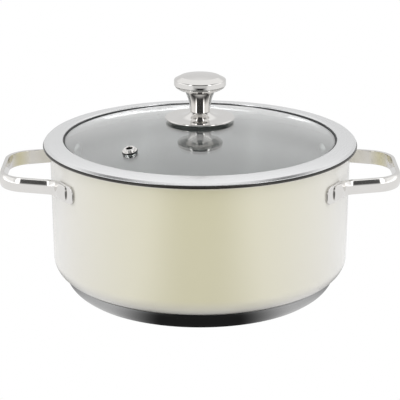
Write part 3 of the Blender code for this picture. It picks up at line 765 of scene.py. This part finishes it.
# %% Rivets
RIVET_HEAD = 0.0054
RIVET_DOME = 0.002
RIVET_SHANK = 0.0025
inner_wall = wall_at(handle_mid) - SHEET
rivet_seat = math.sqrt(inner_wall ** 2 - RIVET_HEAD ** 2) - TOUCH
dome_round = (RIVET_HEAD ** 2 + RIVET_DOME ** 2) / (2 * RIVET_DOME)
dome_open = math.degrees(math.asin(RIVET_HEAD / dome_round))
shank_end = pad_inner + 0.002 - rivet_seat
section = [(0.0, shank_end), (RIVET_SHANK, shank_end), (RIVET_SHANK, 0.0), (RIVET_HEAD - 0.0003, 0.0)]
section += arc((0, dome_round - RIVET_DOME), dome_round, dome_open - 90, -90, 10)
rivet = spun("rivet", section, 48)
for side, start in (("right", 0.0), ("left", math.pi)):
    for end, turn in (("back", rivet_turn), ("front", -rivet_turn)):
        heading = start + (turn if side == "right" else -turn)
        out = Vector((math.cos(heading), math.sin(heading), 0))
        stand = out.to_track_quat("Z", "Y").to_matrix().to_4x4()
        seat = Matrix.Translation(out * rivet_seat + Vector((0, 0, handle_mid)))
        one = copy_of(rivet, side + "_rivet_" + end, seat @ stand)
        fit(one, "pot", RIVET_STEEL, "rivet_steel", "rivet_" + side + "_" + end)
bpy.data.objects.remove(rivet)

# %% [markdown]
# ## Lid ring
# The ring is one wide pressed strip: its outer edge is folded back into a hem that slopes down
# to a thin edge, its face climbs gently inwards, and its inner edge turns down to the glass. A
# skirt below keeps the lid centred in the pot, and a small ledge on the skirt carries the glass.
# All of this is one closed section, listed corner by corner with a fillet for each.

# %% Sizes of the ring
ring_low, ring_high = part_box("lid_rim")
RING_SHEET = 0.0008
RING_TURN = 0.0006              # the inner edge is turned down by this much
RING_WIDE = 0.0156
RING_RISE = 0.0022
HEM = 0.0018
HEM_WIDE = 0.0044
HEM_SLOPE = 0.0017              # the fold slopes down over this width
HEM_EDGE = 0.0004               # to an edge of this height
SKIRT_PLAY = 0.002
LEDGE = 0.0042
glass_low, glass_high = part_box("lid_glass")
ring_radius = ring_high.x
ring_inner = ring_radius - RING_WIDE
ring_edge = ring_high.z - RING_RISE
skirt = wall_top - SHEET - SKIRT_PLAY
skirt_inner = skirt - RING_SHEET
ledge_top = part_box("lid_gasket")[0].z - TOUCH
ledge_inner = skirt_inner - LEDGE
print("ring", round(ring_radius * 2000), "mm across, opening", round(ring_inner * 2000), "mm")


# %% Ring
def ring_top(reach):
    """Height of the ring's upper face at a radius."""
    return ring_edge + RING_RISE * (ring_radius - reach) / RING_WIDE


def ring_under(reach):
    """Height of its underside."""
    return ring_top(reach) - RING_SHEET


hem_inner = ring_radius - HEM_WIDE
turned_low = ring_under(ring_inner) - RING_TURN
turned_outer = ring_inner + RING_SHEET
section = rounded([
    (ring_inner, ring_top(ring_inner), 0.0012),
    (ring_radius - HEM_SLOPE, ring_top(ring_radius - HEM_SLOPE), 0.0008),
    (ring_radius, ring_edge - HEM + HEM_EDGE, 0.0004),
    (ring_radius, ring_edge - HEM, 0.0002),
    (hem_inner, ring_edge - HEM, 0.0003),
    (hem_inner, ring_under(hem_inner), 0.0002),
    (skirt, ring_under(skirt), 0.0008),
    (skirt, ring_low.z, 0.0003),
    (skirt_inner, ring_low.z, 0.0003),
    (skirt_inner, ledge_top - RING_SHEET, 0.0003),
    (ledge_inner, ledge_top - RING_SHEET, 0.0003),
    (ledge_inner, ledge_top, 0.0003),
    (skirt_inner, ledge_top, 0.0002),
    (skirt_inner, ring_under(skirt_inner), 0.0005),
    (turned_outer, ring_under(turned_outer), 0.0002),
    (turned_outer, turned_low, 0.0002),
    (ring_inner, turned_low, 0.0002),
], 6, closed=True)
ring = spun("ring", section, 256, closed=True)
fit(ring, "lid_ring", RING_STEEL, "satin_steel", "lid_rim")

# %% [markdown]
# ## Glass dome
# The lid's glass is one even sheet: a shallow dome with a flat ground rim that sits in the
# gasket. The outside and the inside are arcs about the same centre, so the sheet refracts
# evenly. It is closed at the hole for the knob, because glass with a missing wall bends
# light wrongly.

# %% Shape of the dome
GLASS = 0.004
GLASS_FLAT = 0.0027
glass_radius = glass_high.x
glass_seat = glass_low.z
glass_flat = glass_seat + GLASS
flat_radius = glass_radius - GLASS_FLAT
dome_apex = glass_high.z
rise = dome_apex - glass_flat
dome_radius = (flat_radius ** 2 + rise ** 2) / (2 * rise)
dome_centre = dome_apex - dome_radius
DOME_FILLET = 0.006


def dome_height(reach, depth=0.0):
    """Height of the dome's face, or of the one depth below it, at a radius."""
    return dome_centre + math.sqrt((dome_radius - depth) ** 2 - reach ** 2)


def dome_arc(depth, first, last, steps=40):
    """Points on the dome's face, or on the one depth below it, between two radii."""
    reaches = [first + (last - first) * i / steps for i in range(steps + 1)]
    return [(reach, dome_height(reach, depth)) for reach in reaches]


# %% Glass
SCREW_HOLE = 0.0045
top_face = dome_arc(0.0, SCREW_HOLE, flat_radius - DOME_FILLET / 4)
under_face = dome_arc(GLASS, flat_radius - DOME_FILLET / 4, SCREW_HOLE)
edge = rounded([
    (*top_face[-1], 0),
    (flat_radius, glass_flat, DOME_FILLET),
    (glass_radius, glass_flat, GLASS * 0.25),
    (glass_radius, glass_seat, GLASS * 0.25),
    (flat_radius, glass_seat, DOME_FILLET),
    (*under_face[0], 0),
], 6)
glass = spun("glass", top_face[:-1] + edge + under_face[1:], FINE, closed=True)
fit(glass, "lid", GLASS_CLEAR, "lid_glass", "lid_glass")
glass.visible_shadow = False    # light reaches the inside of the pot through it

# %% [markdown]
# ## Gasket
# A silicone channel is pressed round the edge of the glass, and its upper leaf reaches a little
# way out from under the ring. That leaf is the dark line between the ring and the glass. Its
# section follows the surfaces of the glass and the ring at a hair's distance, so it fills the
# gap between them and still touches neither when the glass turns.

# %% Silicone channel round the glass
LIP_WIDE = 0.0013               # the channel shows this much inside the ring
LIP_EDGE = 0.0003               # and ends this thick
SEAT = 0.00005
SOFT = 0.0002
gasket_low, gasket_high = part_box("lid_gasket")
gasket_radius = gasket_high.x
lip_inner = ring_inner - LIP_WIDE
lip_low = dome_height(lip_inner) + SEAT
turned_reach = turned_outer + SEAT
section = rounded([
    (lip_inner, lip_low + LIP_EDGE, LIP_EDGE / 3),
    (ring_inner - SEAT, turned_low - SEAT, SOFT / 2),
    (turned_reach, turned_low - SEAT, SOFT / 2),
    (turned_reach, ring_under(turned_reach) - SEAT, SOFT / 2),
    (gasket_radius, ring_under(gasket_radius) - SEAT, SOFT),
    (gasket_radius, gasket_low.z, SOFT),
    (ledge_inner, gasket_low.z, SOFT),
    (ledge_inner, glass_seat - SEAT, SOFT),
    (glass_radius + SEAT, glass_seat - SEAT, SOFT),
    (glass_radius + SEAT, glass_flat + SEAT, SOFT),
    (flat_radius, glass_flat + 3 * SEAT, SOFT),     # clear of the glass's own fillet
    (lip_inner, lip_low, 0),
], 4, closed=True)
gasket = spun("gasket", section, FINE, closed=True)
fit(gasket, "lid_ring", SILICONE, "silicone", "lid_gasket")

# %% [markdown]
# ## Steam vent
# A steel eyelet in a silicone bush, through a hole in the glass. Both are turned pieces, but
# their axis leans with the dome. They are spun about the world's Z, where the section is easy
# to draw, and then stood square to the dome. The hole is cut with a Boolean, the simplest way
# to make a leaning hole in a piece that is already spun.

# %% Place of the vent
VENT_INSET = 0.0263
VENT_ANGLE = math.radians(230)
VENT_BORE = 0.0026
VENT_TUBE = 0.0007
VENT_BUSH = 0.0008
VENT_FLANGE = 0.0058
VENT_COLLAR = 0.0046
VENT_COLLAR_TALL = 0.0024
VENT_FOOT = 0.005
vent_reach = ring_inner - VENT_INSET
vent_way = Vector((math.cos(VENT_ANGLE), math.sin(VENT_ANGLE), 0))
vent_foot = vent_way * vent_reach + Vector((0, 0, dome_height(vent_reach)))
vent_axis = (vent_foot - Vector((0, 0, dome_centre))).normalized()
vent_stand = Matrix.Translation(vent_foot) @ vent_axis.to_track_quat("Z", "Y").to_matrix().to_4x4()
bush_inner = VENT_BORE + VENT_TUBE + TOUCH
bush_outer = bush_inner + VENT_BUSH
bush_flange = VENT_FLANGE + TOUCH
bush_top = TOUCH + VENT_BUSH
bush_under = -GLASS - TOUCH
print("vent", round(vent_reach * 1000, 1), "mm from the axis")

# %% Bush
section = rounded([
    (bush_inner, bush_top, SOFT), (bush_flange, bush_top, SOFT), (bush_flange, TOUCH, SOFT),
    (bush_outer, TOUCH, SOFT), (bush_outer, bush_under, SOFT), (bush_flange, bush_under, SOFT),
    (bush_flange, bush_under - VENT_BUSH, SOFT), (bush_inner, bush_under - VENT_BUSH, SOFT),
], 4, closed=True)
bush = spun("vent_sleeve", section, MEDIUM, closed=True)
settle(bush, vent_stand)
fit(bush, "lid", SILICONE, "silicone", "vent_bush")

# %% Eyelet
eyelet_low = bush_top + TOUCH
eyelet_flange = eyelet_low + VENT_TUBE
collar_top = eyelet_low + VENT_COLLAR_TALL
eyelet_foot = bush_under - VENT_BUSH - TOUCH
tube_outer = VENT_BORE + VENT_TUBE
section = rounded([
    (VENT_BORE, collar_top, 0.0005), (VENT_COLLAR, collar_top, 0.0009),
    (VENT_COLLAR, eyelet_flange, SOFT), (VENT_FLANGE, eyelet_flange, SOFT),
    (VENT_FLANGE, eyelet_low, SOFT), (tube_outer, eyelet_low, SOFT),
    (tube_outer, eyelet_foot, SOFT), (VENT_FOOT, eyelet_foot, SOFT),
    (VENT_FOOT, eyelet_foot - VENT_TUBE, SOFT), (VENT_BORE, eyelet_foot - VENT_TUBE, SOFT),
], 5, closed=True)
eyelet = spun("vent_ring", section, MEDIUM, closed=True)
settle(eyelet, vent_stand)
fit(eyelet, "lid", MIRROR, "polished_steel", "vent_eyelet")

# %% Cut the glass for the vent
bpy.ops.object.select_all(action="DESELECT")
bpy.ops.mesh.primitive_cylinder_add(vertices=MEDIUM, radius=bush_outer + TOUCH, depth=6 * GLASS)
cutter = bpy.context.object
settle(cutter, vent_stand)
cut = glass.modifiers.new("vent", "BOOLEAN")
cut.operation = "DIFFERENCE"
cut.object = cutter
apply_all(glass)
bpy.data.objects.remove(cutter)
print("glass", len(glass.data.polygons), "faces")

# %% [markdown]
# ## Knob
# The knob is a thin flange on the glass, a stem that opens like a trumpet, and a cap pressed
# over its mouth. Mirror steel shows every kink, so the flange's hollow and the stem's side are
# each one smooth formula, not a chain of hand-placed points.

# %% Flange
washer_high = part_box("upper_washer")[1]
FLANGE_EDGE = 0.0016
flange_low, flange_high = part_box("knob_flange")
flange_radius = flange_high.x
stem_low, stem_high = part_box("knob_stem")
STEM = 0.0080                   # radius at the foot of the stem
HOLLOW_POWER = 5                # higher makes the flange's hollow steeper
SCREW = 0.0018
PASS = SCREW + 0.0005
flange_seat = washer_high.z + TOUCH


def hollow_curve(first, last, power, steps=24):
    """Points that fall fast and then level out, from one corner to another."""
    shares = [(i / steps) ** 1.6 for i in range(steps + 1)]
    wide, drop = last[0] - first[0], last[1] - first[1]
    return [(first[0] + wide * s, last[1] - drop * (1 - s) ** power) for s in shares]


rim_mid = (flange_radius - FLANGE_EDGE / 2, flange_low.z + FLANGE_EDGE / 2)
crest = rim_mid[1] + FLANGE_EDGE / 2
section = [(PASS, flange_high.z)]
section += hollow_curve((STEM, flange_high.z), (rim_mid[0], crest), HOLLOW_POWER)
section += arc(rim_mid, FLANGE_EDGE / 2, 90, -90, 8)[1:]
section += [(washer_high.x + FLANGE_EDGE, flange_seat), (PASS, flange_seat)]
flange = spun("flange", section, MEDIUM * 2, closed=True)
fit(flange, "lid", MIRROR, "polished_steel", "knob_flange")

# %% Stem
cap_node_low, cap_node_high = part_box("knob_cap")
knob_radius = cap_node_high.x
stem_top = cap_node_low.z - TOUCH
THROAT_SHARE = 0.78
STEM_MOUTH = 0.0120
KNOB_SHEET = 0.001
throat = stem_low.z + THROAT_SHARE * (stem_top - stem_low.z)
insert_low, insert_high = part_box("knob_insert")
insert_bore = insert_high.x + TOUCH


def stem_side(steps=26):
    """The trumpet from the stem's foot to its throat."""
    points = []
    for i in range(steps + 1):
        share = i / steps
        reach = STEM + (STEM_MOUTH - STEM) * share ** 2
        points.append((reach, stem_low.z + (throat - stem_low.z) * share))
    return points


head_edge = knob_radius - KNOB_SHEET / 2
cone = rounded([
    (*stem_side()[-1], 0),
    (knob_radius - 3 * KNOB_SHEET, stem_top - 0.002, 0.004),
    (head_edge, stem_top - 0.0004, 0.0004),
    (head_edge - KNOB_SHEET, stem_top, 0),
], 6)
spigot = knob_radius - KNOB_SHEET - TOUCH
section = [(PASS, stem_low.z)] + stem_side()[:-1] + cone
section += [(spigot, stem_top), (spigot, stem_high.z), (spigot - KNOB_SHEET, stem_high.z)]
section += [(spigot - 2 * KNOB_SHEET, stem_top + TOUCH), (insert_bore, insert_high.z + KNOB_SHEET)]
section += [(insert_bore, insert_low.z - TOUCH), (PASS, insert_low.z - TOUCH)]
stem = spun("stem", section, MEDIUM * 2, closed=True)
fit(stem, "lid", MIRROR, "polished_steel", "knob_stem")

# %% Cap
CROWN = 0.0036
CROWN_EDGE = 0.75 * knob_radius
side_low = cap_node_low.z
side_high = cap_node_high.z - CROWN
crown_low = side_high + 0.75 * CROWN
section = rounded([
    (0.0, cap_node_high.z, 0),
    (CROWN_EDGE * 0.5, cap_node_high.z - 0.0002, 0.03),
    (CROWN_EDGE, crown_low, 0.0016),
    (knob_radius, side_high, 0.0012),
    (knob_radius, side_low, 0.0009),
    (knob_radius - KNOB_SHEET, side_low, 0),
    (knob_radius - KNOB_SHEET, side_high - KNOB_SHEET, 0.0006),
    (CROWN_EDGE - KNOB_SHEET, crown_low - KNOB_SHEET, 0.001),
    (0.0, cap_node_high.z - KNOB_SHEET, 0),
], 6)
knob_cap = spun("knob_top", section, MEDIUM * 2)
fit(knob_cap, "lid", MIRROR, "polished_steel", "knob_cap")


# %% [markdown]
# ## Washers and screw
# A screw from below holds the knob on. Soft washers on both sides keep steel off the glass,
# which would crack where it is pinched. The washers differ only in size and finish, so one
# function makes all three. The screw's cross recess is cut by two thin boxes.

# %% Washers
def washer(node, material, slot):
    """A washer in the place of its node, with soft edges."""
    low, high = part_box(node)
    section = rounded([
        (PASS, high.z, SOFT), (high.x, high.z, SOFT), (high.x, low.z, SOFT), (PASS, low.z, SOFT),
    ], 4, closed=True)
    made = spun(node + "_soft", section, MEDIUM, closed=True)
    fit(made, "lid", material, slot, node)


washer("upper_washer", SILICONE, "silicone")
washer("lower_washer", SILICONE, "silicone")
washer("screw_washer", MIRROR, "polished_steel")

# %% Screw with a cross recess
screw_low, screw_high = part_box("knob_screw")
SCREW_HEAD = 0.0028
head_top = screw_low.z + SCREW_HEAD
head_radius = screw_high.x
head_round = (head_radius ** 2 + SCREW_HEAD ** 2) / (2 * SCREW_HEAD)
head_open = math.degrees(math.asin(head_radius / head_round))
section = [(0.0, screw_high.z), (SCREW, screw_high.z - SCREW / 2), (SCREW, head_top)]
section += arc((0, screw_low.z + head_round), head_round, head_open - 90, -90, 10)
screw = spun("screw", section, 64)
for turn in (0.0, math.pi / 2):
    bpy.ops.object.select_all(action="DESELECT")
    slot_size = (head_radius, 0.001, 0.0022)
    bpy.ops.mesh.primitive_cube_add(size=1, location=(0, 0, screw_low.z), scale=slot_size)
    cutter = bpy.context.object
    settle(cutter, Matrix.Rotation(turn, 4, "Z"))
    cut = screw.modifiers.new("recess", "BOOLEAN")
    cut.operation = "DIFFERENCE"
    cut.object = cutter
    apply_all(screw)
    bpy.data.objects.remove(cutter)
fit(screw, "lid", MIRROR, "polished_steel", "knob_screw")

# %% [markdown]
# ## Hidden pieces
# The aluminium disc in the base and the brass thread in the stem are never seen, so they
# keep their frame shapes and only take a finish.

# %% Finish the frame's own nodes
for node, material in (("base_core", ALUMINIUM), ("knob_insert", BRASS)):
    nodes[node].data.materials.clear()
    nodes[node].data.materials.append(material)
    print("finished", node)

# %% [markdown]
# ## Studio
# The camera sees plain white paper and a plain white room. Polished steel needs something to
# reflect, though: without a dark side a mirror finish looks like white plastic. So the floor
# and the sky ask the Light Path node what kind of ray has hit them. Reflected rays meet soft
# bright sides and a dark front, and all other rays meet an even fill. Then the shine and the
# shading can be set one by one, and no lamp is needed.

# %% Floor
bpy.ops.object.select_all(action="DESELECT")
bpy.ops.mesh.primitive_plane_add(size=12, location=(0, 0, -0.0002))
floor = bpy.context.object
floor.name = "floor"


def empty_nodes(owner):
    """The node tree of a material or a world, cleared."""
    owner.use_nodes = True
    owner.node_tree.nodes.clear()
    return Nodes(owner.node_tree)


def bearing(x, y):
    """Degrees away from the front, from 0 to 180, of a place or of a direction."""
    return x.maths("ABSOLUTE").maths("ARCTAN2", y * -1.0) * (180 / math.pi)


# %% White paper, with the studio's pattern for reflections
NEAR_GLOW = 0.7                 # close to the pot, in its own shade
FAR_GLOW = 0.9
paper = bpy.data.materials.new("white_paper")
made = empty_nodes(paper)
_, x, y, _ = made.place()
away = bearing(x, y)
reach = (x * x + y * y).maths("SQRT")
close = made.step(away, 17, 48, 0.03, 1.0) * made.step(away, 55, 90, 1.0, 0.4) * NEAR_GLOW
beside = made.step(away, 8, 38, 0.02, 1.0).maths("MAXIMUM", made.step(reach, 0.56, 0.70, 0.0, 0.7))
beside = beside * made.step(away, 110, 150, FAR_GLOW, 0.75)
spread = made.step(reach, 0.118, 0.150)
mirrored_light = close * (1.0 - spread) + beside * spread
camera_ray = made.add("ShaderNodeLightPath", output="Is Camera Ray")
glossy_ray = made.add("ShaderNodeLightPath", output="Is Glossy Ray")
strength = camera_ray + (1.0 - camera_ray) * mirrored_light
matte = made.add("ShaderNodeBsdfDiffuse", sockets={"Color": (0.8, 0.8, 0.8, 1)})
glow = made.add("ShaderNodeEmission", sockets={"Color": (1, 1, 1, 1), "Strength": strength})
shown = camera_ray.maths("MAXIMUM", glossy_ray)
mixed = made.add("ShaderNodeMixShader", sockets={0: shown, 1: matte, 2: glow})
made.add("ShaderNodeOutputMaterial", sockets={"Surface": mixed})
floor.data.materials.append(paper)
print("floor at", round(floor.location.z * 1000, 1), "mm")

# %% Surroundings: what polished steel shows, and the even light on everything else
BACK_LOW = 0.74                 # behind, near the horizon
BACK_HIGH = 0.98                # behind, higher up
DARK = 0.06                     # in front
SIDE = 1.0                      # soft light on either side
STRIP = 2.6                     # a narrow strip within it
FILL = 0.85                     # even light on all that is not a reflection
world = bpy.data.worlds.new("studio")
bpy.context.scene.world = world
made = empty_nodes(world)
_, x, y, z = made.place("Generated")
away = bearing(x, y)
back = made.step(z, 0.33, 0.55, BACK_LOW, BACK_HIGH)
dark = made.step(away, 130, 100) * made.step(z, 0.95, 0.80) * made.step(z, -0.02, 0.16)
side = made.step(away, 32, 68) * made.step(away, 128, 100) * made.step(z, 0.80, 0.50)
strip = made.step(away, 36, 43) * made.step(away, 54, 47)
strip = strip * made.step(z, 0.85, 0.65) * made.step(z, 0.0, 0.1)
mirrored_light = back * (1.0 - dark) + dark * DARK + side * SIDE + strip * STRIP
camera_ray = made.add("ShaderNodeLightPath", output="Is Camera Ray")
glossy_ray = made.add("ShaderNodeLightPath", output="Is Glossy Ray")
through_ray = made.add("ShaderNodeLightPath", output="Is Transmission Ray")
shown = glossy_ray.maths("MAXIMUM", through_ray)
even = made.step(away, 35, 75, FILL * 0.9, FILL * 1.75) * made.step(away, 100, 150, 1.0, 0.5)
strength = (mirrored_light * shown + (1.0 - shown) * even) * (1.0 - camera_ray) + camera_ray
sky = made.add("ShaderNodeBackground", sockets={"Color": (1, 1, 1, 1), "Strength": strength})
made.add("ShaderNodeOutputWorld", sockets={"Surface": sky})
print("sky nodes:", len(made.tree.nodes))

# %% [markdown]
# ## Camera
# It looks down a little from the front, with a long lens, so that the circles of the pot stay
# close to true ellipses and both handles show.

# %% Camera
CAMERA_TILT = 0.307
CAMERA_LENS = 155.3
camera_data = bpy.data.cameras.new("camera")
camera_data.lens = CAMERA_LENS
camera = bpy.data.objects.new("camera", camera_data)
bpy.context.scene.collection.objects.link(camera)
camera.location = (0, -1.344, 0.4979)
camera.rotation_euler = (math.pi / 2 - CAMERA_TILT, 0, 0)
bpy.context.scene.camera = camera
bpy.context.scene.view_settings.view_transform = "Standard"
print("camera looks down", round(math.degrees(CAMERA_TILT), 1), "degrees")
